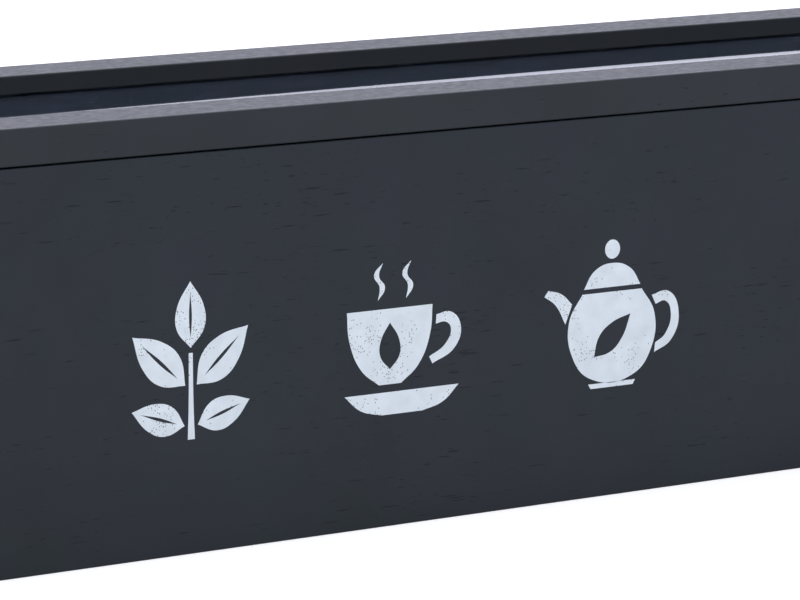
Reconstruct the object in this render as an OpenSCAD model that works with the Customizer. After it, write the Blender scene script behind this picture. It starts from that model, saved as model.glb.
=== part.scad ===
/* [Overall] */
// Length of the box along its row of compartments
box_l = 430; // [330:1:560]
// Depth of the box from its front face to its rear face
box_d = 89.6; // [76:0.1:130]
// Height of the closed box, lid included
box_h = 87.2; // [60:0.1:130]
// Radius of the softened outside arrises
arris_r = 0.4; // [0.2:0.1:0.8]

/* [Walls] */
// Thickness of the four walls
wall_t = 9; // [8.5:0.5:12]
// Thickness of the tongue that each long panel laps over an end panel
tongue_t = 4.5; // [3:0.5:5]
// Thickness of the bottom panel
bottom_t = 4; // [3:0.5:6]
// Height of the bottom panel above the surface that the box stands on
bottom_lift = 4; // [3:0.5:8]
// Depth of the grooves that hold the bottom panel
groove_d = 4; // [2:0.5:4]
// Clearance of the bottom panel in its grooves
groove_clear = 0.1; // [0.05:0.05:0.2]

/* [Dividers] */
// Number of dividers in the row
divider_count = 5; // [2:1:7]
// Thickness of a divider
divider_t = 3; // [2.5:0.5:5]
// Depth of the dadoes that hold the dividers
dado_d = 2; // [1:0.5:3]
// Clearance of a divider in its dadoes
dado_clear = 0.1; // [0.05:0.05:0.2]
// Distance from the rim of the box down to the top of a divider
divider_drop = 4; // [2:0.5:12]

/* [Lid] */
// Thickness of the lid frame
lid_t = 7.4; // [7:0.1:10]
// Gap between the rim of the box and the closed lid
lid_gap = 0.3; // [0.3:0.05:0.8]
// Width of the rails of the lid frame
rail_w = 15.8; // [14.5:0.1:20]
// Thickness of the lip of the rails above the window pane
lip_t = 3.85; // [2.5:0.05:4]
// Play of the window pane under the lip
pane_play = 0.35; // [0.1:0.05:0.4]
// Thickness of the window pane
pane_t = 2; // [1.5:0.1:2.2]
// How far the pane reaches under each rail
pane_lap = 4; // [3:0.5:5]
// Clearance around the edge of the pane
pane_clear = 0.3; // [0.1:0.1:0.6]

/* [Hinges] */
// Length of a hinge
hinge_len = 25; // [22:1:32]
// Distance from the rear face in to the axis of the hinge pins
pin_inset = 3; // [2.6:0.1:3.4]
// Angle at which the bevelled rear arrises stop the open lid
open_angle = 100; // [90:1:110]
// Space left between the two bevels when the lid is open
stop_clear = 0.3; // [0.1:0.1:0.6]
// Thickness of the hinge leaves
leaf_t = 0.8; // [0.6:0.1:1]
// Outer radius of the hinge knuckles
knuckle_r = 1.7; // [1.5:0.1:2]
// Length of the middle knuckle, which belongs to the lid
middle_knuckle_l = 9; // [7:0.5:10]
// Gap between neighbouring knuckles
knuckle_gap = 0.2; // [0.1:0.05:0.4]
// Radius of the hinge pins
pin_r = 0.8; // [0.6:0.05:0.9]
// Running clearance of the knuckles on the pin
pin_clear = 0.05; // [0.02:0.01:0.1]
// Radius of the peened heads of the pin
pin_head_r = 1.1; // [1:0.05:1.4]
// Thickness of the peened heads of the pin
pin_head_t = 0.3; // [0.2:0.05:0.5]
// Clearance of a leaf in its mortise
mortise_clear = 0.1; // [0.05:0.05:0.2]
// Clearance of the knuckles in the wood around them
barrel_clear = 0.3; // [0.2:0.05:0.5]

/* [Screws] */
// Distance between the two screws of a leaf
screw_pitch = 16; // [12:0.5:18]
// Radius of a screw's shank
screw_r = 0.8; // [0.6:0.05:0.9]
// Radius of a screw's countersunk head
screw_head_r = 1.5; // [1.2:0.05:1.5]
// Length of the screws in the box
box_screw_l = 9; // [6:0.5:14]
// Length of the screws in the lid
lid_screw_l = 5; // [4:0.25:6]
// Length of a screw's point
screw_tip_l = 1.6; // [1:0.1:2]
// Width of the cross recess in a screw's head
recess_w = 0.35; // [0.2:0.05:0.5]
// Depth of the cross recess in a screw's head
recess_d = 0.4; // [0.2:0.05:0.5]
// Clearance of a screw or a brad in its holes
screw_clear = 0.05; // [0.02:0.01:0.1]

/* [Nails, points and brads] */
// Length of each leg of a V-nail
v_nail_leg = 5; // [4:0.5:6]
// Thickness of a V-nail
v_nail_t = 0.5; // [0.3:0.1:0.8]
// Height of a V-nail
v_nail_h = 5; // [3:0.5:6]
// Distance from the outer faces of the lid in to the tip of a V-nail
v_nail_inset = 5; // [4.5:0.5:6]
// Angle between the two legs of a V-nail
v_nail_angle = 60; // [40:5:80]
// Number of glazing points along each long rail
long_rail_points = 4; // [2:1:6]
// Length of a glazing point
point_l = 8; // [6:0.5:8.5]
// Width of a glazing point
point_w = 6; // [4:0.5:8]
// Thickness of a glazing point
point_t = 0.5; // [0.3:0.1:0.6]
// Length of the tips of a glazing point
point_tip = 2; // [1:0.5:3]
// Length of a brad
brad_l = 18; // [14:1:25]
// Radius of a brad
brad_r = 0.6; // [0.4:0.05:0.8]
// Depth at which a brad's head is set below the end face
brad_depth = 1; // [0.5:0.25:2]
// Distance from the floor and from the rim to the nearest brad
brad_margin = 16; // [12:1:20]

/* [Hidden] */
$fn = 48;
wood = [0.20, 0.22, 0.25];
wood_inside = [0.17, 0.18, 0.21];
steel = [0.66, 0.66, 0.68];
clear_glass = [0.72, 0.82, 0.86, 0.35];

rim_z = box_h - lid_t - lid_gap;
lid_z = box_h - lid_t;
floor_z = bottom_lift + bottom_t;
inner_l = box_l - 2 * wall_t;
inner_d = box_d - 2 * wall_t;
end_panel_l = box_d - 2 * tongue_t;
through = 1;

compartment_l = (inner_l - divider_count * divider_t) / (divider_count + 1);
divider_pitch = compartment_l + divider_t;
function divider_x(i) = -inner_l / 2 + i * divider_pitch - divider_t / 2;

window_l = box_l - 2 * rail_w;
window_d = box_d - 2 * rail_w;
rabbet_w = pane_lap + pane_clear;
pane_top = box_h - lip_t - pane_play;
pane_bottom = pane_top - pane_t;

pin_y = box_d / 2 - pin_inset;
pin_z = rim_z + lid_gap / 2;
hinge_x = inner_l / 2 - compartment_l / 2;
leaf_reach = wall_t - pin_inset;
knuckle_relief = knuckle_r + knuckle_gap;
outer_knuckle_x = middle_knuckle_l / 2 + knuckle_gap;
OUTER_KNUCKLES = [[-hinge_len / 2, -outer_knuckle_x], [outer_knuckle_x, hinge_len / 2]];
MIDDLE_KNUCKLE = [[-middle_knuckle_l / 2, middle_knuckle_l / 2]];
barrel_r = knuckle_r + barrel_clear;
barrel_l = hinge_len + 2 * (pin_clear + pin_head_t + barrel_clear);
screw_y = -(leaf_reach + knuckle_relief) / 2;
head_t = screw_head_r - screw_r;

point_span = 2 * (hinge_x - barrel_l / 2);
point_pitch = point_span / long_rail_points;

BOX_NODES = ["front_panel", "back_panel", "left_end_panel", "right_end_panel", "bottom_panel"];
DIVIDER_NODES = [for (i = [1:divider_count]) str("divider_", i)];
LID_NODES = ["lid_front_rail", "lid_rear_rail", "lid_left_rail", "lid_right_rail", "window_pane"];
LEFT_HINGE_NODES = ["left_hinge_box_leaf", "left_hinge_lid_leaf", "left_hinge_pin"];
RIGHT_HINGE_NODES = ["right_hinge_box_leaf", "right_hinge_lid_leaf", "right_hinge_pin"];
FASTENER_NODES = ["hinge_box_screws", "hinge_lid_screws", "lid_v_nails", "glazing_points", "corner_brads"];

// ---- shapes that repeat ----

// A flat rectangle about the origin with rounded corners
module rounded_rectangle(size, r) {
    square([size.x - 2 * r, size.y], center = true);
    square([size.x, size.y - 2 * r], center = true);
    for (sx = [-1, 1])
        for (sy = [-1, 1])
            translate([sx * (size.x / 2 - r), sy * (size.y / 2 - r)])
                circle(r);
}

// A block on the plane z = 0 with every outside arris softened
module softened_block(size, r) {
    intersection() {
        linear_extrude(size.z)
            rounded_rectangle([size.x, size.y], r);
        translate([0, size.y / 2, size.z / 2])
            rotate([90, 0, 0])
                linear_extrude(size.y)
                    rounded_rectangle([size.x, size.z], r);
        translate([-size.x / 2, 0, size.z / 2])
            rotate([90, 0, 90])
                linear_extrude(size.x)
                    rounded_rectangle([size.y, size.z], r);
    }
}

// A bar along X that takes the sharp arris off an edge at the origin whose wood lies at +Y and -Z
module arris_cut(length, r) {
    translate([-length / 2, 0, 0])
        rotate([90, 0, 90])
            linear_extrude(length)
                difference() {
                    translate([-through, -r])
                        square([r + through, r + through]);
                    translate([r, -r])
                        circle(r);
                }
}

// The same shape at the right and, mirrored, at the left end of the object
module both_ends() {
    children();
    mirror([1, 0, 0])
        children();
}

// ---- the box ----

// The outside of the four walls together
module walls_outside() {
    softened_block([box_l, box_d, rim_z], arris_r);
}

// The groove that runs round the inside of the walls and holds the bottom panel
module bottom_groove() {
    translate([-inner_l / 2 - groove_d, -inner_d / 2 - groove_d, bottom_lift])
        cube([inner_l + 2 * groove_d, inner_d + 2 * groove_d, bottom_t + groove_clear]);
}

// The dadoes across the long panels, open at the rim
module dadoes() {
    dado_w = divider_t + 2 * dado_clear;
    for (i = [1:divider_count])
        translate([divider_x(i) - dado_w / 2, -inner_d / 2 - dado_d, floor_z])
            cube([dado_w, inner_d + 2 * dado_d, rim_z - floor_z + through]);
}

// The wedge cut along the rear top arris of the box, so that the open lid comes to rest on it
module stop_bevel() {
    translate([0, pin_y, pin_z])
        rotate([-open_angle / 2, 0, 0])
            translate([-box_l / 2 - through, 0, -stop_clear / 2])
                cube([box_l + 2 * through, 3 * pin_inset, 3 * pin_inset]);
}

// The room for the knuckles, the mortises of the leaves and the holes of the screws, below the pin
module hinge_room(screw_l) {
    both_ends()
        translate([hinge_x, pin_y, pin_z]) {
            along_x(barrel_l)
                circle(barrel_r);
            mortise();
            at_leaf_screws()
                cylinder(h = screw_l + screw_clear, r = screw_r + screw_clear);
        }
}

// The mortise of a leaf, open towards the rear
module mortise() {
    mortise_l = hinge_len + 2 * mortise_clear;
    translate([-mortise_l / 2, -leaf_reach - mortise_clear, -lid_gap / 2 - leaf_t])
        cube([mortise_l, leaf_reach + mortise_clear, leaf_t + lid_gap / 2]);
}

// Places a shape at each screw of a leaf below the pin, with the screw's axis pointing down as +Z
module at_leaf_screws() {
    for (side = [-1, 1])
        translate([side * screw_pitch / 2, screw_y, -lid_gap / 2])
            rotate([180, 0, 0])
                children();
}

// An outline in Y and Z drawn out along X about the origin
module along_x(length) {
    translate([-length / 2, 0, 0])
        rotate([90, 0, 90])
            linear_extrude(length)
                children();
}

// A long panel at the front: full length, rabbeted at both ends and eased along its inner rim
module long_panel_blank() {
    difference() {
        intersection() {
            walls_outside();
            translate([-box_l / 2, -box_d / 2, 0])
                cube([box_l, wall_t, rim_z]);
        }
        for (side = [-1, 1])
            translate([side * (inner_l / 2 + wall_t / 2 + through / 2), -end_panel_l / 2 + wall_t / 2, rim_z / 2])
                cube([wall_t + through, wall_t, rim_z + 2 * through], center = true);
        translate([0, -inner_d / 2, rim_z])
            mirror([0, 1, 0])
                arris_cut(box_l + 2 * through, arris_r);
        bottom_groove();
        brads(brad_r + screw_clear);
    }
}

module front_panel() {
    color(wood)
        difference() {
            long_panel_blank();
            dadoes();
        }
}

module back_panel() {
    color(wood)
        difference() {
            mirror([0, 1, 0])
                long_panel_blank();
            dadoes();
            stop_bevel();
            hinge_room(box_screw_l);
        }
}

// The end panel at the right, held between the tongues of the long panels
module end_panel() {
    color(wood)
        difference() {
            intersection() {
                walls_outside();
                translate([inner_l / 2, -end_panel_l / 2, 0])
                    cube([wall_t, end_panel_l, rim_z]);
            }
            translate([inner_l / 2, 0, rim_z])
                rotate([0, 0, -90])
                    arris_cut(box_d, arris_r);
            bottom_groove();
            stop_bevel();
            brads(brad_r + screw_clear);
        }
}

module bottom_panel() {
    color(wood_inside)
        translate([-inner_l / 2 - groove_d + groove_clear, -inner_d / 2 - groove_d + groove_clear, bottom_lift])
            cube([
                inner_l + 2 * (groove_d - groove_clear),
                inner_d + 2 * (groove_d - groove_clear),
                bottom_t
            ]);
}

// One divider, counted from the left, standing on the bottom panel in its dadoes
module divider(i) {
    divider_w = inner_d + 2 * (dado_d - dado_clear);
    divider_h = rim_z - divider_drop - floor_z;
    color(wood_inside)
        translate([divider_x(i), divider_w / 2, floor_z + divider_h / 2])
            rotate([90, 0, 0])
                linear_extrude(divider_w)
                    rounded_rectangle([divider_t, divider_h], arris_r);
}

// ---- the lid ----

// The outline that a front rail fills between its two mitres
module mitre_wedge(length, width) {
    linear_extrude(lid_t)
        polygon([
            [-length / 2 - through, -width / 2 - through],
            [length / 2 + through, -width / 2 - through],
            [length / 2 - rail_w, -width / 2 + rail_w],
            [-length / 2 + rail_w, -width / 2 + rail_w]
        ]);
}

// A mitred rail at the front of a frame that is length long and width deep
module rail_blank(length, width) {
    window_edge = -width / 2 + rail_w;
    difference() {
        intersection() {
            softened_block([length, width, lid_t], arris_r);
            mitre_wedge(length, width);
        }
        translate([-length / 2, window_edge - rabbet_w, -through])
            cube([length, rabbet_w + through, lid_t - lip_t + through]);
        translate([0, window_edge, lid_t])
            mirror([0, 1, 0])
                arris_cut(length, arris_r);
    }
}

// A rail in its place in the lid, with everything cut out of it that the frame holds
module lid_rail(turn, length, width) {
    color(wood)
        difference() {
            translate([0, 0, lid_z])
                rotate([0, 0, turn])
                    rail_blank(length, width);
            v_nail_set();
            glazing_point_set();
            translate([0, 0, 2 * pin_z])
                mirror([0, 0, 1]) {
                    stop_bevel();
                    hinge_room(lid_screw_l);
                }
        }
}

module window_pane() {
    color(clear_glass)
        translate([-window_l / 2 - pane_lap, -window_d / 2 - pane_lap, pane_bottom])
            cube([window_l + 2 * pane_lap, window_d + 2 * pane_lap, pane_t]);
}

// ---- the hinges ----

// A leaf with its knuckles about the pin, below the pin's axis; each knuckle is [start, end] along X
module hinge_leaf(knuckles) {
    color(steel)
        difference() {
            union() {
                translate([-hinge_len / 2, -leaf_reach, -lid_gap / 2 - leaf_t])
                    cube([hinge_len, leaf_reach - knuckle_relief, leaf_t]);
                for (k = knuckles)
                    translate([(k[0] + k[1]) / 2, 0, 0])
                        along_x(k[1] - k[0]) {
                            circle(knuckle_r);
                            translate([-knuckle_relief, -lid_gap / 2 - leaf_t])
                                square([knuckle_relief, leaf_t]);
                        }
            }
            along_x(hinge_len + 2 * through)
                circle(pin_r + pin_clear);
            at_leaf_screws() {
                cylinder(h = head_t, r1 = screw_head_r + screw_clear, r2 = screw_r + screw_clear);
                cylinder(h = leaf_t + through, r = screw_r + screw_clear);
            }
        }
}

module box_leaf(side) {
    translate([side * hinge_x, pin_y, pin_z])
        hinge_leaf(OUTER_KNUCKLES);
}

module lid_leaf(side) {
    translate([side * hinge_x, pin_y, pin_z])
        mirror([0, 0, 1])
            hinge_leaf(MIDDLE_KNUCKLE);
}

module hinge_pin(side) {
    shaft_l = hinge_len + 2 * pin_clear;
    color(steel)
        translate([side * hinge_x, pin_y, pin_z]) {
            along_x(shaft_l)
                circle(pin_r);
            for (end = [-1, 1])
                translate([end * (shaft_l + pin_head_t) / 2, 0, 0])
                    along_x(pin_head_t)
                        circle(pin_head_r);
        }
}

// ---- the fasteners ----

// A countersunk wood screw with its head at the origin and its point along +Z
module wood_screw(length) {
    difference() {
        union() {
            cylinder(h = head_t, r1 = screw_head_r, r2 = screw_r);
            cylinder(h = length - screw_tip_l, r = screw_r);
            translate([0, 0, length - screw_tip_l])
                cylinder(h = screw_tip_l, r1 = screw_r, r2 = 0);
        }
        for (turn = [0, 90])
            rotate([0, 0, turn])
                translate([-screw_r, -recess_w / 2, -through])
                    cube([2 * screw_r, recess_w, through + recess_d]);
    }
}

module hinge_box_screws() {
    color(steel)
        both_ends()
            translate([hinge_x, pin_y, pin_z])
                at_leaf_screws()
                    wood_screw(box_screw_l);
}

module hinge_lid_screws() {
    color(steel)
        both_ends()
            translate([hinge_x, pin_y, pin_z])
                mirror([0, 0, 1])
                    at_leaf_screws()
                        wood_screw(lid_screw_l);
}

// The V-nails pressed across the four mitres from below
module v_nail_set() {
    for (sx = [-1, 1])
        for (sy = [-1, 1])
            translate([sx * (box_l / 2 - v_nail_inset), sy * (box_d / 2 - v_nail_inset), lid_z])
                for (leg = [-1, 1])
                    rotate([0, 0, atan2(-sy, -sx) + leg * v_nail_angle / 2])
                        translate([-v_nail_t / 2, -v_nail_t / 2, 0])
                            cube([v_nail_leg, v_nail_t, v_nail_h]);
}

module lid_v_nails() {
    color(steel)
        v_nail_set();
}

// A flat glazing point with a tip at each end, half of it in the rail at +Y
module glazing_point() {
    translate([0, 0, pane_bottom - point_t])
        linear_extrude(point_t)
            polygon([
                [0, -point_l / 2],
                [point_w / 2, -point_l / 2 + point_tip],
                [point_w / 2, point_l / 2 - point_tip],
                [0, point_l / 2],
                [-point_w / 2, point_l / 2 - point_tip],
                [-point_w / 2, -point_l / 2 + point_tip]
            ]);
}

// The glazing points round the pane: a row on each long rail and one on each end rail
module glazing_point_set() {
    for (turn = [0, 180])
        rotate([0, 0, turn])
            for (i = [1:long_rail_points])
                translate([-point_span / 2 + (i - 0.5) * point_pitch, window_d / 2 + rabbet_w, 0])
                    glazing_point();
    for (turn = [90, -90])
        rotate([0, 0, turn])
            translate([0, window_l / 2 + rabbet_w, 0])
                glazing_point();
}

module glazing_points() {
    color(steel)
        glazing_point_set();
}

// The brads driven through the end panels into the long panels, two at each corner
module brads(r) {
    for (sx = [-1, 1])
        for (sy = [-1, 1])
            for (z = [brad_margin, rim_z - brad_margin])
                translate([sx * (box_l / 2 - brad_depth - brad_l / 2), sy * (inner_d + end_panel_l) / 4, z])
                    along_x(brad_l)
                        circle(r);
}

module corner_brads() {
    color(steel)
        brads(brad_r);
}

// ---- what is drawn ----

front_panel();
back_panel();
mirror([1, 0, 0]) end_panel();  // left_end_panel
end_panel();  // right_end_panel
bottom_panel();
for (i = [1:divider_count])
    divider(i);
lid_rail(0, box_l, box_d);  // lid_front_rail
lid_rail(180, box_l, box_d);  // lid_rear_rail
lid_rail(-90, box_d, box_l);  // lid_left_rail
lid_rail(90, box_d, box_l);  // lid_right_rail
window_pane();
box_leaf(-1);  // left_hinge_box_leaf
lid_leaf(-1);  // left_hinge_lid_leaf
hinge_pin(-1);  // left_hinge_pin
box_leaf(1);  // right_hinge_box_leaf
lid_leaf(1);  // right_hinge_lid_leaf
hinge_pin(1);  // right_hinge_pin
hinge_box_screws();
hinge_lid_screws();
lid_v_nails();
glazing_points();
corner_brads();
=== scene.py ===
# %% [markdown]
# # A tea box with a glazed lid
#
# The object is a long, low wooden box for one row of tea bags. Its walls and the frame of its
# lid are painted a satin anthracite, and the lid holds a pane of clear glass. The wooden parts,
# the glass, the hinges and the nails are already solids at their true size. This lesson gives
# each of them its finish, adds the white printed marks on the front, and sets up a plain studio.

# %% Load the solids
import math

import bmesh
import bpy
from mathutils import Matrix, Vector


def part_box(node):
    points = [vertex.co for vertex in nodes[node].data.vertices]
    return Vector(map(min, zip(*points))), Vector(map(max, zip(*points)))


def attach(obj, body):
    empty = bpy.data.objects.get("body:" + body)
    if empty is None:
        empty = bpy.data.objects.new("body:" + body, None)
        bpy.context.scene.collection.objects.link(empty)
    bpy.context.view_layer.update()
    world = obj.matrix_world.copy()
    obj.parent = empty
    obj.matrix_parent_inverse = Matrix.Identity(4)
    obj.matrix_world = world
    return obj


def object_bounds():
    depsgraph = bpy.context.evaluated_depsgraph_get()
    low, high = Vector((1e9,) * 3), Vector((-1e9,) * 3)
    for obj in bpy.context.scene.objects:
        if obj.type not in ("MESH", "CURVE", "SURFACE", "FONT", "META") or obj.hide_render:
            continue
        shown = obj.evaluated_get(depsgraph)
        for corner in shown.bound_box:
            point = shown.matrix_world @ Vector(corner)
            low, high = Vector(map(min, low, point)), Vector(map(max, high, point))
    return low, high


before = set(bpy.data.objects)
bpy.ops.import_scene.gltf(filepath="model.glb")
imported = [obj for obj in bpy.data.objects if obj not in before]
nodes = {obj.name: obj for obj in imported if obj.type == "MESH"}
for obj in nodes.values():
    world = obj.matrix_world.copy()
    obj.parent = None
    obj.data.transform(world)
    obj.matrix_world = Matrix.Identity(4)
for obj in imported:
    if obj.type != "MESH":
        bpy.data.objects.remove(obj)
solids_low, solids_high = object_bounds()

MM = 0.001
print("solids:", len(nodes), "size in mm:", [round(v / MM, 1) for v in solids_high - solids_low])

# %% [markdown]
# ## The camera
#
# A long lens a metre away flattens the perspective, so the long edges of the box stay nearly
# parallel. The camera stands to the left of the box and a little above it, and looks slightly down.
# Its heading and its pitch are plain angles, so they become one rotation: first the pitch about X,
# then the heading about Z. The lens is so long that only the middle of the front is in view.

# %% Place the camera
CAMERA_PLACE = Vector((-521.6, -828.3, 204.1)) * MM
CAMERA_HEADING = math.radians(33.63)
CAMERA_PITCH = math.radians(9.53)
LENS = 213.75
SENSOR_WIDTH = 36.0
NEAREST = 0.05
FARTHEST = 50.0


def add_camera():
    """A camera with the long lens, looking along its heading and down by its pitch."""
    data = bpy.data.cameras.new("studio_camera")
    data.lens = LENS
    data.sensor_width = SENSOR_WIDTH
    data.clip_start = NEAREST
    data.clip_end = FARTHEST
    camera = bpy.data.objects.new("studio_camera", data)
    camera.location = CAMERA_PLACE
    camera.rotation_euler = (math.pi / 2 - CAMERA_PITCH, 0.0, -CAMERA_HEADING)
    bpy.context.scene.collection.objects.link(camera)
    bpy.context.scene.camera = camera
    return camera


camera = add_camera()
print("camera is", round(camera.location.length, 3), "m from the middle of the box's foot")

# %% [markdown]
# ## Small helpers for shader nodes
#
# A finish is a small network of nodes. A few helpers keep the networks short. One feeds a socket
# with a number, a colour or another socket, and one adds any node at all. The next ones are short
# words for the nodes that come up most: a sum or a product, a change of range, and a noise. The
# last one starts a node group with named sockets, so that several materials can share a pattern.

# %% Helpers for nodes
def feed(tree, socket, value):
    """Links a socket to another one, or writes a plain value into it."""
    if isinstance(value, bpy.types.NodeSocket):
        tree.links.new(value, socket)
    elif value is not None:
        socket.default_value = value


def add(tree, kind, inputs=None, **settings):
    """Adds a node, sets its options and feeds its named or numbered inputs."""
    node = tree.nodes.new(kind)
    for name, value in settings.items():
        setattr(node, name, value)
    for name, value in (inputs or {}).items():
        feed(tree, node.inputs[name], value)
    return node


def maths(tree, operation, *values):
    """A Math node on sockets or numbers; returns its result."""
    return add(tree, "ShaderNodeMath", dict(enumerate(values)), operation=operation).outputs[0]


def vector_maths(tree, operation, *values):
    """A Vector Math node on sockets or vectors; returns its result."""
    return add(tree, "ShaderNodeVectorMath", dict(enumerate(values)), operation=operation).outputs[0]


def remap(tree, value, low, high, new_low=0.0, new_high=1.0):
    """Takes a value from one range to another with soft ends."""
    inputs = {"Value": value, "From Min": low, "From Max": high, "To Min": new_low, "To Max": new_high}
    node = add(tree, "ShaderNodeMapRange", inputs, interpolation_type="SMOOTHSTEP")
    return node.outputs["Result"]


def noise(tree, vector, scale, detail=2.0, roughness=0.5):
    """A Noise texture between 0 and 1 on the given coordinates."""
    inputs = {"Vector": vector, "Scale": scale, "Detail": detail, "Roughness": roughness}
    return add(tree, "ShaderNodeTexNoise", inputs).outputs["Fac"]


def new_group(name, inputs, outputs):
    """A node group with named sockets: floats by default, vectors where the name is Vector."""
    tree = bpy.data.node_groups.new(name, "ShaderNodeTree")
    for socket_name, value in inputs.items():
        kind = "NodeSocketVector" if socket_name == "Vector" else "NodeSocketFloat"
        socket = tree.interface.new_socket(name=socket_name, in_out="INPUT", socket_type=kind)
        if value is not None:
            socket.default_value = value
    for socket_name in outputs:
        tree.interface.new_socket(name=socket_name, in_out="OUTPUT", socket_type="NodeSocketFloat")
    return tree, tree.nodes.new("NodeGroupInput").outputs, tree.nodes.new("NodeGroupOutput").inputs


print("helpers ready")

# %% [markdown]
# ## The grain under the paint
#
# The boards are cut from an open-pored wood. Paint bridges the fibres but sinks into the pores,
# so the grain shows as short dark dashes along the board. A Voronoi texture places one point in
# each cell, and near that point the distance is small. Cells drawn out along the board turn the
# round spots into dashes. Each row of cells slides along by a random amount, so that the dashes
# don't line up. A cell's random colour decides if it has a pore at all, how long and how deep it
# is, and a large soft noise makes the pores crowd together in bands, as the year rings do.
#
# An image wrapped round each board could show the pores too. A pattern that is worked out from the
# place of each point fits every board at its true size, runs on over the edges and never repeats.

# %% The open grain group
LONG_PORE = {"Pore Length": 8.0 * MM, "Pore Width": 0.8 * MM}
DRIFT_STRETCH = (12.0, 60.0, 60.0)
DRIFT_REACH = 6.0 * MM
CELLS_OF_STAGGER = 9.0
SHORTEST_PORE = 0.14
PORE_SPREAD = 0.24
FAINTEST_PORE = 0.25
DEPTH_SPREAD = 0.75
BAND_STRETCH = (14.0, 75.0, 75.0)
BAND_EDGE = (0.36, 0.66)


def build_open_grain():
    """Dashes along X where pores open in the surface: from 0 beside a pore to 1 in a deep one."""
    sockets = {"Vector": None, **LONG_PORE, "Amount": 0.3, "Seed": 0.0}
    tree, given, result = new_group("Open grain", sockets, ["Pores"])
    shift = add(tree, "ShaderNodeCombineXYZ", {"X": given["Seed"], "Y": given["Seed"], "Z": given["Seed"]})
    place = vector_maths(tree, "ADD", given["Vector"], shift.outputs[0])
    stretched = vector_maths(tree, "MULTIPLY", place, DRIFT_STRETCH)
    sway = maths(tree, "SUBTRACT", noise(tree, stretched, 1.0, 1.0), 0.5)
    drift = maths(tree, "MULTIPLY", sway, DRIFT_REACH)
    bend = add(tree, "ShaderNodeCombineXYZ", {"Y": drift, "Z": drift})
    cell = {"X": given["Pore Length"], "Y": given["Pore Width"], "Z": given["Pore Width"]}
    cell_size = add(tree, "ShaderNodeCombineXYZ", cell).outputs[0]
    cells_place = vector_maths(tree, "DIVIDE", vector_maths(tree, "ADD", place, bend.outputs[0]), cell_size)
    row = vector_maths(tree, "MULTIPLY", vector_maths(tree, "FLOOR", cells_place), (0.0, 1.0, 1.0))
    chance_of_row = add(tree, "ShaderNodeTexWhiteNoise", {"Vector": row}).outputs["Value"]
    stagger = maths(tree, "MULTIPLY", chance_of_row, CELLS_OF_STAGGER)
    along = add(tree, "ShaderNodeCombineXYZ", {"X": stagger})
    staggered = vector_maths(tree, "ADD", cells_place, along.outputs[0])
    cells = add(tree, "ShaderNodeTexVoronoi", {"Vector": staggered, "Scale": 1.0, "Randomness": 1.0})
    chance = add(tree, "ShaderNodeSeparateColor", {"Color": cells.outputs["Color"]}).outputs
    reach = maths(tree, "MULTIPLY_ADD", chance[1], PORE_SPREAD, SHORTEST_PORE)
    spot = remap(tree, maths(tree, "DIVIDE", cells.outputs["Distance"], reach), 1.0, 0.45)
    year_rings = noise(tree, vector_maths(tree, "MULTIPLY", place, BAND_STRETCH), 1.0)
    bands = remap(tree, year_rings, *BAND_EDGE)
    chosen = maths(tree, "LESS_THAN", chance[0], maths(tree, "MULTIPLY", given["Amount"], bands))
    depth = maths(tree, "MULTIPLY_ADD", chance[2], DEPTH_SPREAD, FAINTEST_PORE)
    feed(tree, result["Pores"], maths(tree, "MULTIPLY", maths(tree, "MULTIPLY", spot, chosen), depth))
    return tree


open_grain = build_open_grain()
print("group:", open_grain.name, "nodes:", len(open_grain.nodes))

# %% [markdown]
# ## The film of paint
#
# Sprayed paint is never quite even. Its tone and its hue drift softly over a few centimetres, and
# the fibres below telegraph through as faint long ripples. The mist of the spray gun leaves a fine
# mottle, which shows most where a surface mirrors light at a low angle. One group gives them all:
# a tone around 1 that multiplies the colour, a hue that blends two shades of the paint, and two
# fine patterns, ripple and mottle, for the sheen and the bump.

# %% The paint film group
HUES_PER_PATCH = 1.7
HUE_EDGE = (0.38, 0.62)
FIBRE_STRETCH = (90.0, 2200.0, 2200.0)
MOTTLE_STRETCH = (550.0, 650.0, 600.0)


def build_paint_film():
    """Tone: a slow drift of lightness around 1. Hue, Ripple and Mottle: patterns from 0 to 1."""
    sockets = {"Vector": None, "Patch Size": 30.0 * MM, "Drift": 0.1, "Seed": 0.0}
    tree, given, result = new_group("Paint film", sockets, ["Tone", "Hue", "Ripple", "Mottle"])
    shift = add(tree, "ShaderNodeCombineXYZ", {"X": given["Seed"], "Y": given["Seed"], "Z": given["Seed"]})
    place = vector_maths(tree, "ADD", given["Vector"], shift.outputs[0])
    patch = add(tree, "ShaderNodeCombineXYZ", {axis: given["Patch Size"] for axis in "XYZ"}).outputs[0]
    patches = noise(tree, vector_maths(tree, "DIVIDE", place, patch), 1.0, 3.0, 0.55)
    swing = maths(tree, "MULTIPLY", maths(tree, "SUBTRACT", patches, 0.5), given["Drift"])
    feed(tree, result["Tone"], maths(tree, "ADD", maths(tree, "MULTIPLY", swing, 2.0), 1.0))
    hues = noise(tree, vector_maths(tree, "DIVIDE", place, patch), HUES_PER_PATCH, 2.0, 0.5)
    feed(tree, result["Hue"], remap(tree, hues, *HUE_EDGE))
    fibres = vector_maths(tree, "MULTIPLY", place, FIBRE_STRETCH)
    feed(tree, result["Ripple"], noise(tree, fibres, 1.0, 2.0, 0.6))
    grained = vector_maths(tree, "MULTIPLY", place, MOTTLE_STRETCH)
    feed(tree, result["Mottle"], noise(tree, grained, 1.0, 3.0, 0.65))
    return tree


paint_film = build_paint_film()
print("group:", paint_film.name, "nodes:", len(paint_film.nodes))

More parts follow.
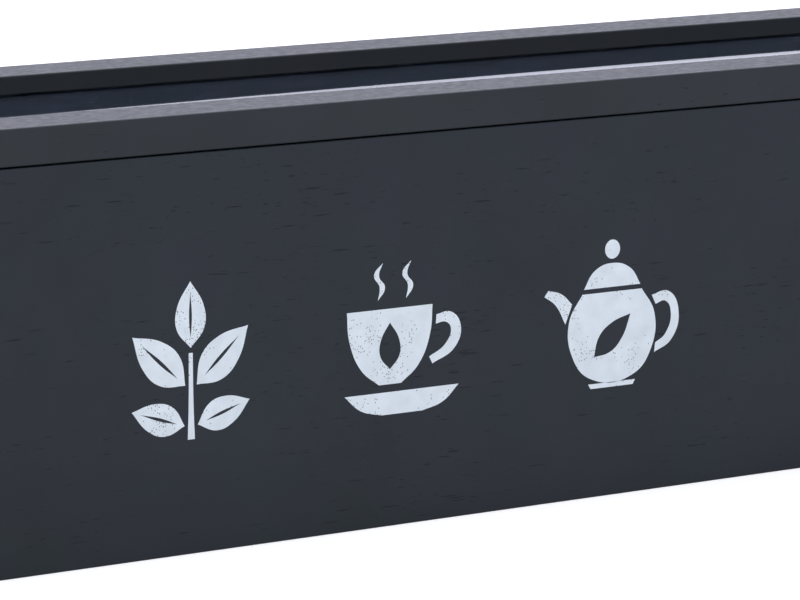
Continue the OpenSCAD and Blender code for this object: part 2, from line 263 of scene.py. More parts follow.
# %% [markdown]
# ## The painted wood
#
# Every board has the same paint, but each is a board of its own: its grain runs along its length
# and starts at another place in the pattern. The material is made by a function that takes the
# direction of the grain and a seed. The paint is a satin one: dark, with a soft sheen. Pores are
# darker and duller than the film around them, and the bump lets them catch the light.
#
# The rails of the lid were painted apart from the box and came out a shade lighter. Their faces
# towards the window are darkened with painted shade, and in the rabbet that holds the pane, below
# the lip, painted shade makes the paint nearly black and dull. Two masks find these places. Both
# measure how far outside the lid's opening a point lies, and the one for the rabbet also asks if
# the point is below the lip that covers the pane's edge.

# %% The colours of the paint
PAINT = (0.0170, 0.0238, 0.0300, 1.0)
RAIL_PAINT = (0.0220, 0.0275, 0.0320, 1.0)
# Painted shade: the rails' faces towards the window keep this share of their colour.
WINDOW_SIDE_PAINTED_SHADE = 0.55
WINDOW_SIDE_EDGE = (0.1 * MM, 0.5 * MM)
# Painted shade in the rabbet: below the lip its colour keeps only this share, to darken the gap beside the
# pane.
RABBET_PAINTED_SHADE = 0.10
RABBET_WIDTH = 4.5 * MM
LIP_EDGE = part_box("window_pane")[1].z + 0.45 * MM
PORE_SHADE = (0.0050, 0.0095, 0.0150, 1.0)
GREENER = (0.94, 1.03, 0.97, 1.0)
REDDER = (1.06, 0.97, 1.03, 1.0)
GRAIN_TURN = {"x": (0.0, 0.0, 0.0), "y": (0.0, 0.0, math.pi / 2)}
print("deepest paint:", PORE_SHADE[:3], "lip's lower edge at z =", round(LIP_EDGE / MM, 2), "mm")

# %% Helpers for materials
def new_material(name):
    """An empty node material with its Principled shader; returns material, tree and shader."""
    material = bpy.data.materials.new(name)
    material.use_nodes = True
    tree = material.node_tree
    shader = tree.nodes["Principled BSDF"]
    return material, tree, shader


def placed(tree, turn=(0.0, 0.0, 0.0)):
    """Object coordinates in metres, turned so that a board's grain lies along X."""
    coordinates = add(tree, "ShaderNodeTexCoord").outputs["Object"]
    return add(tree, "ShaderNodeMapping", {"Vector": coordinates, "Rotation": turn}).outputs["Vector"]


def group_node(tree, group, inputs):
    """Places a node group in a tree, feeds its inputs and returns its outputs."""
    node = add(tree, "ShaderNodeGroup", node_tree=group)
    for name, value in inputs.items():
        feed(tree, node.inputs[name], value)
    return node.outputs


def tinted(tree, colour, factor):
    """A colour times a factor that changes over the surface."""
    mixed = add(tree, "ShaderNodeMix", data_type="RGBA", blend_type="MULTIPLY")
    feed(tree, mixed.inputs["Factor"], 1.0)
    feed(tree, mixed.inputs["A"], colour)
    grey = add(tree, "ShaderNodeCombineColor", {0: factor, 1: factor, 2: factor})
    feed(tree, mixed.inputs["B"], grey.outputs[0])
    return mixed.outputs["Result"]


def blended(tree, factor, first, second):
    """One colour fading into another."""
    mixed = add(tree, "ShaderNodeMix", data_type="RGBA")
    feed(tree, mixed.inputs["Factor"], factor)
    feed(tree, mixed.inputs["A"], first)
    feed(tree, mixed.inputs["B"], second)
    return mixed.outputs["Result"]


print("grain can run along", ", ".join(GRAIN_TURN))

# %% The masks beside the window
def beside_window(tree):
    """How far outside the lid's opening a point lies: about 0 on the rails' faces towards the window."""
    axes = add(tree, "ShaderNodeSeparateXYZ", {0: placed(tree)}).outputs
    half_length = -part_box("lid_left_rail")[1].x
    half_depth = -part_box("lid_front_rail")[1].y
    past_end = maths(tree, "SUBTRACT", maths(tree, "ABSOLUTE", axes["X"]), half_length)
    past_side = maths(tree, "SUBTRACT", maths(tree, "ABSOLUTE", axes["Y"]), half_depth)
    return maths(tree, "MAXIMUM", past_end, past_side)


def rabbet_painted_shade(tree, beside):
    """How much painted shade darkens the rabbet that holds the pane, below the lip; 0 on every other face
    of the rails.
    """
    height = add(tree, "ShaderNodeSeparateXYZ", {0: placed(tree)}).outputs["Z"]
    under_lip = maths(tree, "LESS_THAN", height, LIP_EDGE)
    within = maths(tree, "LESS_THAN", beside, RABBET_WIDTH)
    return maths(tree, "MULTIPLY", maths(tree, "MULTIPLY", under_lip, within), 1.0 - RABBET_PAINTED_SHADE)


print("rabbet: up to", round(RABBET_WIDTH / MM, 2), "mm beside the opening")

# %% The painted wood material
SATIN = 0.40
PORES = 0.30
SHORT_PORE = {"Pore Length": 3.0 * MM, "Pore Width": 0.5 * MM}
SHORT_PORE_SEED = 3.7
TONE_DRIFT = 0.25
MOTTLE_EDGE = (0.3, 0.7)
SMOOTHER = -0.06
DULLER = 0.07
PORE_DULLING = 0.25
RIPPLE_HEIGHT = 0.10
MOTTLE_HEIGHT = 0.135
FILM_DEPTH = 0.12 * MM
PAINT_SHINE = 0.46


def painted_wood(name, grain, seed, paint=PAINT, pores=PORES, roughness=SATIN, painted_window_shade=1.0):
    """Satin paint over an open grain that runs along the given axis, with painted shade beside a window."""
    material, tree, shader = new_material(name)
    place = placed(tree, GRAIN_TURN[grain])
    long_pores = group_node(tree, open_grain, {"Vector": place, "Amount": pores, "Seed": seed})
    short = {"Vector": place, "Amount": pores, "Seed": seed + SHORT_PORE_SEED, **SHORT_PORE}
    short_pores = group_node(tree, open_grain, short)
    pore = maths(tree, "MAXIMUM", long_pores["Pores"], short_pores["Pores"])
    film = group_node(tree, paint_film, {"Vector": place, "Seed": seed, "Drift": TONE_DRIFT})
    greener = tuple(a * b for a, b in zip(paint, GREENER))
    redder = tuple(a * b for a, b in zip(paint, REDDER))
    colour = tinted(tree, blended(tree, film["Hue"], greener, redder), film["Tone"])
    dull = remap(tree, film["Mottle"], *MOTTLE_EDGE, roughness + SMOOTHER, roughness + DULLER)
    dull = maths(tree, "ADD", dull, maths(tree, "MULTIPLY", pore, PORE_DULLING))
    # Painted shade: the rails' faces towards the window's opening are darkened.
    if painted_window_shade < 1.0:
        beside = beside_window(tree)
        colour = tinted(tree, colour, remap(tree, beside, *WINDOW_SIDE_EDGE, painted_window_shade, 1.0))
        # Painted shade in the rabbet below the lip, where the gap beside the pane lies in shade; it is also
        # made dull.
        rabbet = rabbet_painted_shade(tree, beside)
        colour = tinted(tree, colour, maths(tree, "SUBTRACT", 1.0, rabbet))
        dull = maths(tree, "MAXIMUM", dull, rabbet)
    feed(tree, shader.inputs["Base Color"], blended(tree, pore, colour, PORE_SHADE))
    feed(tree, shader.inputs["Roughness"], dull)
    sunk = maths(tree, "MULTIPLY", pore, -1.0)
    ripple = maths(tree, "MULTIPLY", film["Ripple"], RIPPLE_HEIGHT)
    mottle = maths(tree, "MULTIPLY", film["Mottle"], MOTTLE_HEIGHT)
    height = maths(tree, "ADD", sunk, maths(tree, "ADD", ripple, mottle))
    bump = add(tree, "ShaderNodeBump", {"Height": height, "Strength": 0.7, "Distance": FILM_DEPTH})
    feed(tree, shader.inputs["Normal"], bump.outputs["Normal"])
    shader.inputs["Specular IOR Level"].default_value = PAINT_SHINE
    return material


def dress(material, *names):
    """Gives solids by name their material."""
    for name in names:
        for slot in nodes[name].material_slots:
            slot.material = material


dress(painted_wood("paint_front_panel", grain="x", seed=0.0), "front_panel")
dress(painted_wood("paint_back_panel", grain="x", seed=1.3), "back_panel")
dress(painted_wood("paint_end_panels", grain="y", seed=2.1), "left_end_panel", "right_end_panel")
RAIL_PORES = 0.14
rail_finish = {"paint": RAIL_PAINT, "pores": RAIL_PORES, "painted_window_shade": WINDOW_SIDE_PAINTED_SHADE}
long_rails = painted_wood("paint_long_rails", grain="x", seed=4.4, **rail_finish)
end_rails = painted_wood("paint_end_rails", grain="y", seed=5.2, **rail_finish)
dress(long_rails, "lid_front_rail", "lid_rear_rail")
dress(end_rails, "lid_left_rail", "lid_right_rail")
print("painted boards:", len([n for n in nodes if n.endswith(("panel", "rail"))]))

# %% [markdown]
# ## The boards inside
#
# The dividers and the bottom are thin board with the same paint, sprayed a little drier where the
# gun reaches badly, so they are flatter in sheen and show less of a grain.

# %% The inside boards
INSIDE_PAINT = (0.0140, 0.0175, 0.0220, 1.0)
inside_finish = {"paint": INSIDE_PAINT, "pores": 0.12, "roughness": 0.52}
dividers = [name for name in nodes if name.startswith("divider_")]
dress(painted_wood("paint_dividers", grain="y", seed=6.8, **inside_finish), *dividers)
dress(painted_wood("paint_bottom", grain="x", seed=7.9, **inside_finish), "bottom_panel")
print("dividers:", len(dividers))

# %% [markdown]
# ## The glass
#
# The pane is a real slab with two faces, so a Principled shader with full transmission bends and
# mirrors light as glass does, and near grazing it becomes a mirror. Light from the lamps can't
# find its way through a refracting slab, so rays that test for shadow pass straight through. A
# few wiped streaks roughen the surface here and there. Fine dust gives it a cool haze where it is
# seen at a low angle, as a sheen. It lies in soft patches with a few coarser specks. Near the long
# rails the haze is cut to a quarter, as painted shade that darkens the line where the pane meets
# the lip.
# Sheet glass in a wooden frame is seldom flat: this pane twists by a fraction of a degree, which
# bends what it mirrors, while the glazing points hold its rear edge at one slope. The twist is a
# height fed to a Bump node. Both faces of the pane twist together, so the height changes its sign
# where a ray meets a face that looks down.

# %% The values of the glass
GLASS_TINT = (0.86, 0.93, 0.97, 1.0)
GLASS_IOR = 1.52
SHADOW_TINT = (0.88, 0.94, 0.96, 1.0)
DUST_TINT = (0.35, 0.52, 0.88, 1.0)
STREAK_STRETCH = (160.0, 14.0, 14.0)
STREAK_EDGE = (0.62, 0.80)
STREAK_ROUGHNESS = 0.05
PANE_TWIST = 0.0091
TWIST_LENGTH = 560.0 * MM
TWIST_START = -26.0 * MM
REAR_TILT = 0.0055
REAR_TILT_FROM = 21.0 * MM
REAR_TILT_BLEND = 6.0 * MM
HAZE = 0.036
# Share of the dust sheen left near the long rails: painted shade at the pane's edge.
HAZE_AT_RAIL_PAINTED_SHADE = 0.25
HAZE_EDGE = (27.0 * MM, 28.8 * MM)
PATCH_SCALE = 60.0
PATCH_EDGE = (0.35, 0.65)
THIN_DUST = 0.8
THICK_DUST = 1.25
SPECK_SCALE = 700.0
SPECK_EDGE = (0.74, 0.80)
SPECK_STRENGTH = 7.0
print("the pane twists by up to", round(math.degrees(PANE_TWIST), 2), "degrees")

# %% The glass material
def window_glass():
    """Clear sheet glass, faintly dusty and streaked, that lets lamp light through."""
    material, tree, shader = new_material("window_glass")
    place = placed(tree)
    streaks = noise(tree, vector_maths(tree, "MULTIPLY", place, STREAK_STRETCH), 1.0, 3.0, 0.6)
    shader.inputs["Base Color"].default_value = GLASS_TINT
    shader.inputs["Transmission Weight"].default_value = 1.0
    shader.inputs["IOR"].default_value = GLASS_IOR
    feed(tree, shader.inputs["Roughness"], remap(tree, streaks, *STREAK_EDGE, 0.0, STREAK_ROUGHNESS))
    shader.inputs["Sheen Roughness"].default_value = 0.5
    shader.inputs["Sheen Tint"].default_value = DUST_TINT
    axes = add(tree, "ShaderNodeSeparateXYZ", {0: place}).outputs
    # Painted shade: the dust sheen drops near the long rails, darkening the line where the pane meets the
    # lip.
    haze_with_painted_shade = remap(tree, maths(tree, "ABSOLUTE", axes["Y"]), *HAZE_EDGE, HAZE, HAZE * HAZE_AT_RAIL_PAINTED_SHADE)
    patchy = noise(tree, place, PATCH_SCALE, 4.0, 0.6)
    patches = remap(tree, patchy, *PATCH_EDGE, THIN_DUST, THICK_DUST)
    specks = remap(tree, noise(tree, place, SPECK_SCALE, 0.0), *SPECK_EDGE, 0.0, SPECK_STRENGTH)
    dust = maths(tree, "MULTIPLY", maths(tree, "ADD", patches, specks), haze_with_painted_shade)
    feed(tree, shader.inputs["Sheen Weight"], dust)
    along = maths(tree, "SUBTRACT", axes["X"], TWIST_START)
    turn = maths(tree, "SINE", maths(tree, "MULTIPLY", along, 2 * math.pi / TWIST_LENGTH))
    tilt = maths(tree, "MULTIPLY", turn, PANE_TWIST)
    past = maths(tree, "SUBTRACT", axes["Y"], REAR_TILT_FROM)
    held = maths(tree, "SMOOTH_MAX", past, 0.0, REAR_TILT_BLEND)
    more = maths(tree, "MULTIPLY", maths(tree, "SUBTRACT", REAR_TILT, tilt), held)
    rise = maths(tree, "MULTIPLY_ADD", tilt, axes["Y"], more)
    to_object = {"vector_type": "NORMAL", "convert_from": "WORLD", "convert_to": "OBJECT"}
    facing = add(tree, "ShaderNodeVectorTransform", **to_object)
    feed(tree, facing.inputs[0], add(tree, "ShaderNodeNewGeometry").outputs["Normal"])
    side = maths(tree, "SIGN", add(tree, "ShaderNodeSeparateXYZ", {0: facing.outputs[0]}).outputs["Z"])
    twist = maths(tree, "MULTIPLY", rise, side)
    bump = add(tree, "ShaderNodeBump", {"Height": twist, "Strength": 1.0, "Distance": 1.0})
    feed(tree, shader.inputs["Normal"], bump.outputs["Normal"])
    clear = add(tree, "ShaderNodeBsdfTransparent", {"Color": SHADOW_TINT})
    shadow = add(tree, "ShaderNodeLightPath").outputs["Is Shadow Ray"]
    either = add(tree, "ShaderNodeMixShader", {0: shadow, 1: shader.outputs[0], 2: clear.outputs[0]})
    feed(tree, tree.nodes["Material Output"].inputs["Surface"], either.outputs[0])
    return material


dress(window_glass(), "window_pane")

# %% [markdown]
# ## The metal
#
# The hinges and their screws are nickel-plated steel, drawn through a press, so fine lines run
# along them. The nails are bare steel and duller, and the glazing points are blued, so that they
# don't glint through the pane. One group gives the lines and the clouding, and each metal uses it
# with its own strength.

# %% The drawn metal group
LINE_LENGTH = 6.0 * MM
LINE_WIDTH = 0.08 * MM
CLOUD_SCALE = 420.0


def build_drawn_metal():
    """Lines: fine scratches along X. Cloud: soft dull patches. Both from 0 to 1."""
    sockets = {"Vector": None, "Line Width": LINE_WIDTH}
    tree, given, result = new_group("Drawn metal", sockets, ["Lines", "Cloud"])
    width = given["Line Width"]
    size = add(tree, "ShaderNodeCombineXYZ", {"X": LINE_LENGTH, "Y": width, "Z": width})
    lines = vector_maths(tree, "DIVIDE", given["Vector"], size.outputs[0])
    feed(tree, result["Lines"], noise(tree, lines, 1.0, 3.0, 0.7))
    feed(tree, result["Cloud"], noise(tree, given["Vector"], CLOUD_SCALE, 4.0, 0.6))
    return tree


drawn_metal = build_drawn_metal()
print("group:", drawn_metal.name, "nodes:", len(drawn_metal.nodes))

# %% The metals
NICKEL = (0.60, 0.585, 0.555, 1.0)
BARE_STEEL = (0.42, 0.425, 0.43, 1.0)
BLUED_STEEL = (0.085, 0.09, 0.105, 1.0)
CLOUD_EDGE = (0.35, 0.75)
CLOUDED_SHADE = 0.88
CLEAN_METAL = -0.02
CLOUDED_METAL = 0.05
LINE_DULLING = 0.08
SHEET_LINES = 0.005 * MM
SCREW_LINES = 0.003 * MM


def steel(name, colour, roughness, line_height=SHEET_LINES):
    """A metal with drawn lines and dull patches."""
    material, tree, shader = new_material(name)
    marks = group_node(tree, drawn_metal, {"Vector": placed(tree)})
    worn = remap(tree, marks["Cloud"], *CLOUD_EDGE, 1.0, CLOUDED_SHADE)
    feed(tree, shader.inputs["Base Color"], tinted(tree, colour, worn))
    shader.inputs["Metallic"].default_value = 1.0
    scratched = maths(tree, "MULTIPLY", marks["Lines"], LINE_DULLING)
    dull = remap(tree, marks["Cloud"], *CLOUD_EDGE, roughness + CLEAN_METAL, roughness + CLOUDED_METAL)
    feed(tree, shader.inputs["Roughness"], maths(tree, "ADD", dull, scratched))
    bump = add(tree, "ShaderNodeBump", {"Height": marks["Lines"], "Strength": 0.4, "Distance": line_height})
    feed(tree, shader.inputs["Normal"], bump.outputs["Normal"])
    return material


hinge_pieces = [name for name in nodes if "_hinge_" in name]
dress(steel("nickel_hinges", NICKEL, roughness=0.24), *hinge_pieces)
screw_metal = steel("nickel_screws", NICKEL, roughness=0.28, line_height=SCREW_LINES)
dress(screw_metal, "hinge_box_screws", "hinge_lid_screws")
dress(steel("bare_steel", BARE_STEEL, roughness=0.38), "lid_v_nails", "corner_brads")
dress(steel("blued_steel", BLUED_STEEL, roughness=0.42), "glazing_points")
print("hinge pieces:", len(hinge_pieces))

# %% [markdown]
# ## The printed marks
#
# Three white marks are screen-printed on the front: a sprig of tea, a cup and a pot. Each is a
# flat filled outline. A 2D curve fills whatever lies between its closed splines, so an outline
# inside another one becomes a hole, and a few Bezier points make each shape. The curve then
# becomes a mesh as thin as a layer of ink, and is stood up against the front panel. An image in the
# paint's colour could show the marks too, but outlines stay sharp from near and give the ink an edge.

# %% Helpers for outlines
FRONT_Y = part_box("front_panel")[0].y
INK = 0.06 * MM
CURVE_STEPS = 16
MERGE_WITHIN = 0.001 * MM


def spline(curve, points, corners=()):
    """Adds a closed Bezier spline through points in mm; the numbered points are sharp corners."""
    line = curve.splines.new("BEZIER")
    line.bezier_points.add(len(points) - 1)
    for number, (point, (x, y)) in enumerate(zip(line.bezier_points, points)):
        point.co = (x * MM, y * MM, 0.0)
        kind = "VECTOR" if number in corners else "AUTO"
        point.handle_left_type = kind
        point.handle_right_type = kind
    line.use_cyclic_u = True


def leaf(curve, foot, angle, length, width, vein=True):
    """A pointed leaf from its foot, with the midrib left out of it as a thin slit."""
    turn = Matrix.Rotation(math.radians(angle), 2)
    foot = Vector(foot)

    def at(along, across):
        return tuple(foot + turn @ Vector((along * length, across * width)))

    edge = [(0, 0), (0.30, 0.42), (0.62, 0.40), (1, 0), (0.62, -0.40), (0.30, -0.42)]
    spline(curve, [at(*point) for point in edge], (0, 3))
    if vein:
        midrib = [(0.14, 0), (0.45, 0.045), (0.84, 0), (0.45, -0.045)]
        spline(curve, [at(*point) for point in midrib], (0, 2))


def printed(name, draw, centre_x, foot_z):
    """Draws a mark as a 2D curve, turns it into a thin mesh and stands it on the front panel."""
    curve = bpy.data.curves.new(name, "CURVE")
    curve.dimensions = "2D"
    curve.fill_mode = "BOTH"
    curve.resolution_u = CURVE_STEPS
    curve.extrude = INK / 2
    draw(curve)
    flat = bpy.data.objects.new(name + "_outline", curve)
    bpy.context.scene.collection.objects.link(flat)
    bpy.context.view_layer.update()
    mesh = bpy.data.meshes.new_from_object(flat.evaluated_get(bpy.context.evaluated_depsgraph_get()))
    bpy.data.objects.remove(flat)
    upright = Matrix.Rotation(math.pi / 2, 4, "X")
    mesh.transform(Matrix.Translation((centre_x * MM, FRONT_Y - INK / 2, foot_z * MM)) @ upright)
    shape = bmesh.new()
    shape.from_mesh(mesh)
    bmesh.ops.remove_doubles(shape, verts=shape.verts, dist=MERGE_WITHIN)
    bmesh.ops.recalc_face_normals(shape, faces=shape.faces)
    shape.to_mesh(mesh)
    shape.free()
    mesh.name = name
    piece = bpy.data.objects.new(name, mesh)
    bpy.context.scene.collection.objects.link(piece)
    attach(piece, "box")
    return piece


print("front face at y =", round(FRONT_Y / MM, 2), "mm")

# %% [markdown]
# The sprig has a bud at its tip, two pairs of leaves and a short stem. The stencil leaves a small
# gap between each leaf and the stem, as stencils must, so that no outline crosses another. The cup
# and the pot are made up the same way, from a body, a handle and a few smaller outlines. A leaf
# inside the body becomes a hole of that shape, through which the paint shows.

# %% Draw the three marks
def draw_sprig(curve):
    """A sprig of tea: a stem, two pairs of leaves and a bud."""
    stem = [(-0.8, 0.0), (0.8, 0.0), (0.55, 7.0), (0.45, 17.2), (-0.45, 17.2), (-0.55, 7.0)]
    spline(curve, stem, (0, 1, 3, 4))
    leaf(curve, (0.0, 18.2), 90, 13.2, 7.6)
    for side in (-1, 1):
        leaf(curve, (side * 1.3, 10.8), 90 - side * 48, 16.0, 8.4)
        leaf(curve, (side * 1.5, 2.8), 90 - side * 72, 12.6, 7.0)


def draw_teacup(curve):
    """A cup with its handle on a saucer, and two wisps of steam."""
    bowl_right = [(-13.6, 21.6), (7.0, 21.6), (6.4, 15.6), (3.6, 9.6)]
    bowl_left = [(-0.6, 6.2), (-6.0, 6.2), (-10.2, 9.6), (-13.0, 15.6)]
    spline(curve, bowl_right + bowl_left, (0, 1, 4, 5))
    leaf(curve, (-3.3, 9.2), 90, 9.6, 5.6, vein=False)
    handle_outside = [(8.0, 19.4), (11.6, 19.6), (13.9, 16.6), (12.6, 12.4), (7.0, 9.4)]
    handle_inside = [(6.2, 10.9), (10.2, 13.2), (11.5, 16.2), (10.4, 17.6), (7.8, 17.5)]
    spline(curve, handle_outside + handle_inside, (0, 4, 5, 9))
    saucer = [(-14.2, 4.6), (7.6, 4.6), (13.4, 4.6), (9.6, 1.4), (4.6, 0.0), (-5.4, 0.0), (-10.4, 1.4)]
    spline(curve, saucer, (0, 2, 4, 5))
    wisp = [(0.0, 23.4), (1.7, 26.0), (0.3, 28.4), (1.2, 31.0), (-0.9, 28.6), (0.4, 26.2)]
    for shift in (-6.2, 0.6):
        spline(curve, [(x + shift, y) for x, y in wisp], (0, 3))


def draw_teapot(curve):
    """A round pot with a spout, a handle, a lid and a knob."""
    belly_right = [(7.6, 19.0), (10.9, 13.6), (10.2, 6.4), (5.6, 1.2)]
    belly_left = [(-5.6, 1.2), (-10.2, 6.4), (-10.9, 13.6)]
    spline(curve, [(-7.6, 19.0)] + belly_right + belly_left, (0, 1))
    leaf(curve, (-4.6, 5.6), 42, 12.6, 5.4, vein=False)
    spline(curve, [(-6.0, 0.0), (6.0, 0.0), (5.4, -1.0), (-5.4, -1.0)], (0, 1, 2, 3))
    spline(curve, [(-7.2, 20.0), (7.2, 20.0), (4.6, 23.6), (0.0, 25.0), (-4.6, 23.6)], (0, 1))
    spline(curve, [(0.0, 25.9), (1.9, 27.9), (0.0, 29.9), (-1.9, 27.9)])
    spout = [(-11.9, 13.2), (-14.4, 17.4), (-17.2, 19.4), (-16.2, 20.6), (-12.9, 19.6), (-10.2, 17.2)]
    spline(curve, spout, (0, 2, 3, 5))
    handle_outside = [(10.2, 17.4), (14.6, 17.8), (17.2, 13.4), (15.4, 7.6), (10.9, 5.2)]
    handle_inside = [(11.2, 7.2), (13.7, 8.8), (15.2, 13.2), (13.8, 15.8), (11.2, 15.4)]
    spline(curve, handle_outside + handle_inside, (0, 4, 5, 9))


MARK_FOOT = 23.0
POT_FOOT = 1.0
marks = [
    printed("print_tea_sprig", draw_sprig, centre_x=-49.6, foot_z=MARK_FOOT),
    printed("print_teacup", draw_teacup, centre_x=0.4, foot_z=MARK_FOOT),
    printed("print_teapot", draw_teapot, centre_x=52.3, foot_z=MARK_FOOT + POT_FOOT),
]
print("marks:", {mark.name: len(mark.data.polygons) for mark in marks})

# %% [markdown]
# ## The ink
#
# Screen ink lies on the paint, a little uneven. Where the screen didn't press, it leaves tiny pits
# through which the dark paint shows. The pits gather in loose clusters, so a fine Voronoi texture
# makes them, and a soft noise says where they gather.

# %% The ink material
WHITE_INK = (0.81, 0.89, 0.915, 1.0)
PIT_SCALE = 2300.0
PIT_EDGE = (0.36, 0.18)
CLUSTER_SCALE = 150.0
CLUSTER_EDGE = (0.48, 0.68)
MOST_PITS = 0.70
PIT_SHOWS = 0.85
PIT_DEPTH = 0.03 * MM
INK_ROUGHNESS = 0.55
INK_SHINE = 0.3


def white_ink():
    """White ink with fine pits in loose clusters."""
    material, tree, shader = new_material("white_ink")
    place = placed(tree)
    inputs = {"Vector": place, "Scale": PIT_SCALE, "Randomness": 1.0}
    cells = add(tree, "ShaderNodeTexVoronoi", inputs)
    pits = remap(tree, cells.outputs["Distance"], *PIT_EDGE)
    chance = add(tree, "ShaderNodeSeparateColor", {"Color": cells.outputs["Color"]}).outputs[0]
    clusters = noise(tree, place, CLUSTER_SCALE, 3.0, 0.6)
    cluster = remap(tree, clusters, *CLUSTER_EDGE, 0.0, MOST_PITS)
    bare = maths(tree, "MULTIPLY", pits, maths(tree, "LESS_THAN", chance, cluster))
    uneven = {"Vector": place, "Seed": 9.1, "Drift": 0.15, "Patch Size": 4.0 * MM}
    film = group_node(tree, paint_film, uneven)
    ink = tinted(tree, WHITE_INK, film["Tone"])
    shown = maths(tree, "MULTIPLY", bare, PIT_SHOWS)
    feed(tree, shader.inputs["Base Color"], blended(tree, shown, ink, PAINT))
    shader.inputs["Roughness"].default_value = INK_ROUGHNESS
    shader.inputs["Specular IOR Level"].default_value = INK_SHINE
    sunk = maths(tree, "MULTIPLY", bare, -1.0)
    bump = add(tree, "ShaderNodeBump", {"Height": sunk, "Strength": 0.3, "Distance": PIT_DEPTH})
    feed(tree, shader.inputs["Normal"], bump.outputs["Normal"])
    return material


ink = white_ink()
for mark in marks:
    mark.data.materials.append(ink)
print("ink on", len(marks), "marks")

# %% [markdown]
# ## The studio
#
# The box stands on a white table in a white room. The world is plain white to the camera, and soft
# and slightly cool where it lights the box or shows in its gloss. The Light Path node tells these
# rays apart. The wall behind the box is bright and the side of the camera is dimmer, as in a real
# studio, so a glossy top mirrors white while the front stays deep. The soft light comes more from
# behind than from before. Just above the horizon the wall glows a little more, as a lit backdrop
# does near its foot, and the edge of the pane nearest to the camera mirrors that glow.

# %% The world
ROOM_LIGHT_BEFORE = 0.76
ROOM_LIGHT_BEHIND = 1.20
ROOM_FRONT = 0.42
ROOM_BACK = 0.975
FRONT_TO_BACK = (-0.3, 0.5)
HORIZON_GLOW = 1.19
GLOW_BAND = (0.13, 0.22)
ROOM_TINT = (0.885, 0.895, 1.055, 1.0)
PLAIN_WHITE = (1.0, 1.0, 1.0, 1.0)


def build_world():
    """White for the camera; for other rays soft and cool, brighter behind the box than before it."""
    world = bpy.data.worlds.new("white_room")
    bpy.context.scene.world = world
    world.use_nodes = True
    tree = world.node_tree
    background = tree.nodes["Background"]
    direction = add(tree, "ShaderNodeTexCoord").outputs["Generated"]
    aims = add(tree, "ShaderNodeSeparateXYZ", {0: direction}).outputs
    ahead = aims["Y"]
    glow = remap(tree, aims["Z"], *GLOW_BAND, HORIZON_GLOW, 1.0)
    mirrored = maths(tree, "MULTIPLY", remap(tree, ahead, *FRONT_TO_BACK, ROOM_FRONT, ROOM_BACK), glow)
    soft = remap(tree, ahead, *FRONT_TO_BACK, ROOM_LIGHT_BEFORE, ROOM_LIGHT_BEHIND)
    path = add(tree, "ShaderNodeLightPath").outputs
    shiny = maths(tree, "MAXIMUM", path["Is Glossy Ray"], path["Is Transmission Ray"])
    level = add(tree, "ShaderNodeMix", {0: shiny, 2: soft, 3: mirrored}).outputs[0]
    tint = add(tree, "ShaderNodeMix", data_type="RGBA")
    feed(tree, tint.inputs["Factor"], path["Is Camera Ray"])
    feed(tree, tint.inputs["A"], ROOM_TINT)
    feed(tree, tint.inputs["B"], PLAIN_WHITE)
    strength = add(tree, "ShaderNodeMix", {0: path["Is Camera Ray"], 2: level, 3: 1.0}).outputs[0]
    feed(tree, background.inputs["Color"], tint.outputs["Result"])
    feed(tree, background.inputs["Strength"], strength)


build_world()
print("soft room light", ROOM_LIGHT_BEFORE, "to", ROOM_LIGHT_BEHIND)
print("mirrored room", ROOM_FRONT, "to", ROOM_BACK)

# %% [markdown]
# ## The table
#
# The table is lit like everything else, so the shadow at the foot of the box stays. What the camera
# sees of it is nearly white and gets a small lift, while the light that it sends up to the box
# comes from a greyer white, so that the front stays deep. It shows from above only, and it is open
# under the box, so that a view from below shows a lit underside.

# %% The table
TABLE_REACH = 8.0
TABLE_DROP = 0.03 * MM
FOOT_INSET = 1.5 * MM
TABLE_BOUNCE = 0.44
TABLE_SEEN = 0.90
TABLE_LIFT = 0.325


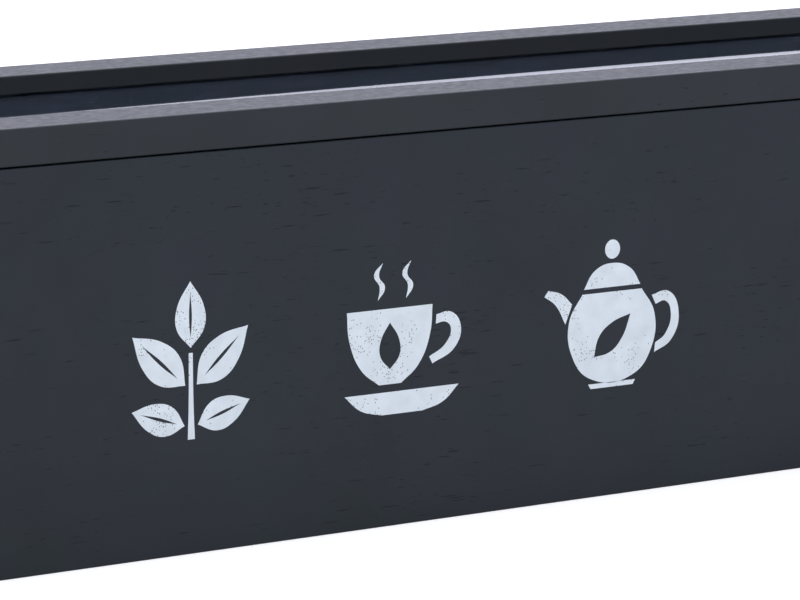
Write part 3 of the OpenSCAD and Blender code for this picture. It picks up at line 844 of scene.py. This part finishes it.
def build_table():
    """A wide white table whose white is lifted for the camera only, seen from above only."""
    shape = bmesh.new()
    bmesh.ops.create_grid(shape, x_segments=1, y_segments=1, size=TABLE_REACH)
    mesh = bpy.data.meshes.new("table_top")
    shape.to_mesh(mesh)
    shape.free()
    mesh.transform(Matrix.Translation((0.0, 0.0, -TABLE_DROP)))
    table = bpy.data.objects.new("table_top", mesh)
    bpy.context.scene.collection.objects.link(table)
    material, tree, shader = new_material("white_table")
    tree.nodes.remove(shader)
    path = add(tree, "ShaderNodeLightPath").outputs
    seen = maths(tree, "MAXIMUM", path["Is Camera Ray"], path["Is Transmission Ray"])
    white = add(tree, "ShaderNodeMapRange", {"Value": seen, 3: TABLE_BOUNCE, 4: TABLE_SEEN})
    diffuse = add(tree, "ShaderNodeBsdfDiffuse", {"Color": white.outputs[0]})
    lift = add(tree, "ShaderNodeEmission", {"Strength": maths(tree, "MULTIPLY", seen, TABLE_LIFT)})
    lit = add(tree, "ShaderNodeAddShader", {0: diffuse.outputs[0], 1: lift.outputs[0]})
    geometry = add(tree, "ShaderNodeNewGeometry").outputs
    place = add(tree, "ShaderNodeSeparateXYZ", {0: geometry["Position"]}).outputs
    half_length = solids_high.x - FOOT_INSET
    half_depth = solids_high.y - FOOT_INSET
    under_length = maths(tree, "LESS_THAN", maths(tree, "ABSOLUTE", place["X"]), half_length)
    under_depth = maths(tree, "LESS_THAN", maths(tree, "ABSOLUTE", place["Y"]), half_depth)
    under_box = maths(tree, "MULTIPLY", under_length, under_depth)
    open_part = maths(tree, "MAXIMUM", geometry["Backfacing"], under_box)
    hidden = add(tree, "ShaderNodeBsdfTransparent")
    surface = add(tree, "ShaderNodeMixShader", {0: open_part, 1: lit.outputs[0], 2: hidden.outputs[0]})
    feed(tree, tree.nodes["Material Output"].inputs["Surface"], surface.outputs[0])
    mesh.materials.append(material)


build_table()
print("table is", 2 * TABLE_REACH, "m wide")

# %% [markdown]
# ## The lamps
#
# Two large square softboxes complete the light: the key stands high on the camera's side, and the
# other hangs over the box. They are wide for their distance, so no shadow has a hard edge.

# %% The lamps
def add_lamp(name, place, target, size, power):
    """A square soft lamp that faces a point."""
    data = bpy.data.lights.new(name, "AREA")
    data.shape = "SQUARE"
    data.size = size
    data.energy = power
    lamp = bpy.data.objects.new(name, data)
    lamp.location = place
    lamp.rotation_mode = "QUATERNION"
    lamp.rotation_quaternion = (Vector(target) - Vector(place)).to_track_quat("-Z", "Y")
    bpy.context.scene.collection.objects.link(lamp)


box_middle = (solids_low + solids_high) / 2
add_lamp("key_softbox", place=(-0.9, -1.3, 1.9), target=box_middle, size=1.6, power=26.0)
add_lamp("top_softbox", place=(0.6, 0.5, 2.2), target=box_middle, size=1.8, power=14.0)

# %% [markdown]
# ## Finish
#
# The view transform stays plain, so colours render as they are written.

# %% Finish
bpy.context.scene.view_settings.view_transform = "Standard"
